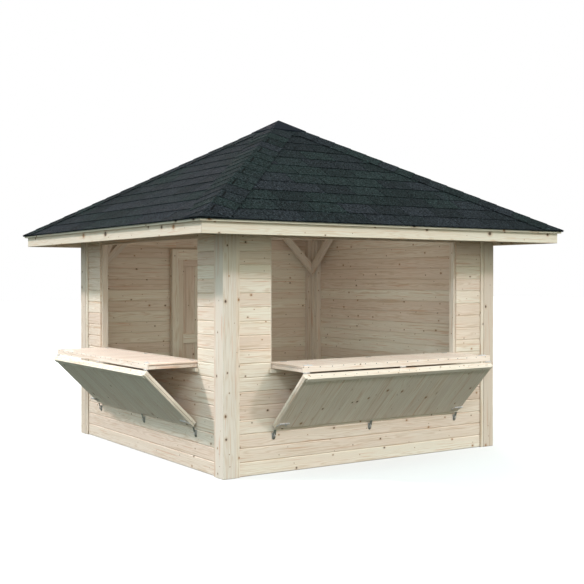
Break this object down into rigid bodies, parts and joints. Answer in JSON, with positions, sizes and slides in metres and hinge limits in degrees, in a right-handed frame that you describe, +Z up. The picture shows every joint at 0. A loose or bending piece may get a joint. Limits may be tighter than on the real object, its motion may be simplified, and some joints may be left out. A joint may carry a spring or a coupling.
{
  "type": "wooden market stall",
  "caption": "Square boarded timber stall with a pyramid shingle roof, serving openings on neighbouring sides with fold-out counters, and a boarded entry door.",
  "frame": {"origin": "centre of the plan at ground level, on the underside of the posts", "axes": "+X along the front wall with the serving opening, +Y to the back wall with the door, +Z up"},
  "size_m": [3.9439, 3.9439, 3.2071],
  "materials": {
    "spruce_board": "planed, untreated spruce",
    "frame_timber": "planed, untreated framing",
    "roof_board": "planed, untreated boards",
    "shingle": "mineral granules on bitumen felt",
    "ridge_felt": "mineral granules on bitumen felt",
    "galvanised": "galvanised steel"
  },
  "bodies": {
    "stall": {"front_left_post": "spruce_board", "front_right_post": "spruce_board", "back_right_post": "spruce_board", "back_left_post": "spruce_board", "wall_plates": "frame_timber", "ground_rails": "frame_timber", "wall_studs": "frame_timber", "opening_rails": "frame_timber", "front_wall_low": "spruce_board", "front_wall_left": "spruce_board", "front_wall_right": "spruce_board", "left_wall_low": "spruce_board", "left_wall_back": "spruce_board", "left_wall_front": "spruce_board", "right_wall": "spruce_board", "back_wall_right": "spruce_board", "back_wall_left": "spruce_board", "back_wall_over_door": "spruce_board", "cover_strips": "spruce_board", "knee_braces": "frame_timber", "counter_ledgers": "spruce_board", "hasps": "galvanised", "sill_hinges": "galvanised", "door_jambs": "spruce_board", "door_head": "spruce_board", "door_frame_hinges": "galvanised", "hip_rafters": "frame_timber", "rafters": "frame_timber", "apex_block": "frame_timber", "roof_boards": "roof_board", "fascia_boards": "roof_board", "front_shingles": "shingle", "right_shingles": "shingle", "back_shingles": "shingle", "left_shingles": "shingle", "hip_caps": "ridge_felt", "apex_cap": "ridge_felt"},
    "front_counter": {"front_counter": "spruce_board", "front_counter_fittings": "galvanised"},
    "front_prop": {"front_prop_leaf": "spruce_board", "front_prop_fittings": "galvanised"},
    "left_counter": {"left_counter": "spruce_board", "left_counter_fittings": "galvanised"},
    "left_prop": {"left_prop_leaf": "spruce_board", "left_prop_fittings": "galvanised"},
    "door": {"door_leaf": "spruce_board", "door_fittings": "galvanised"}
  },
  "joints": [
    {"name": "front_counter_hinge", "type": "hinge", "parent": "stall", "child": "front_counter", "pos_m": [0, -1.467, 0.92], "axis": [-1, 0, 0], "range_deg": [0, 88]},
    {"name": "front_prop_hinge", "type": "hinge", "parent": "front_counter", "child": "front_prop", "pos_m": [0, -1.94, 0.867], "axis": [-1, 0, 0], "range_deg": [0, 135]},
    {"name": "left_counter_hinge", "type": "hinge", "parent": "stall", "child": "left_counter", "pos_m": [-1.467, 0, 0.92], "axis": [0, 1, 0], "range_deg": [0, 88]},
    {"name": "left_prop_hinge", "type": "hinge", "parent": "left_counter", "child": "left_prop", "pos_m": [-1.94, 0, 0.867], "axis": [0, 1, 0], "range_deg": [0, 135]},
    {"name": "door_hinge", "type": "hinge", "parent": "stall", "child": "door", "pos_m": [-0.403, 1.489, 0.9], "axis": [0, 0, 1], "range_deg": [0, 105]}
  ]
}
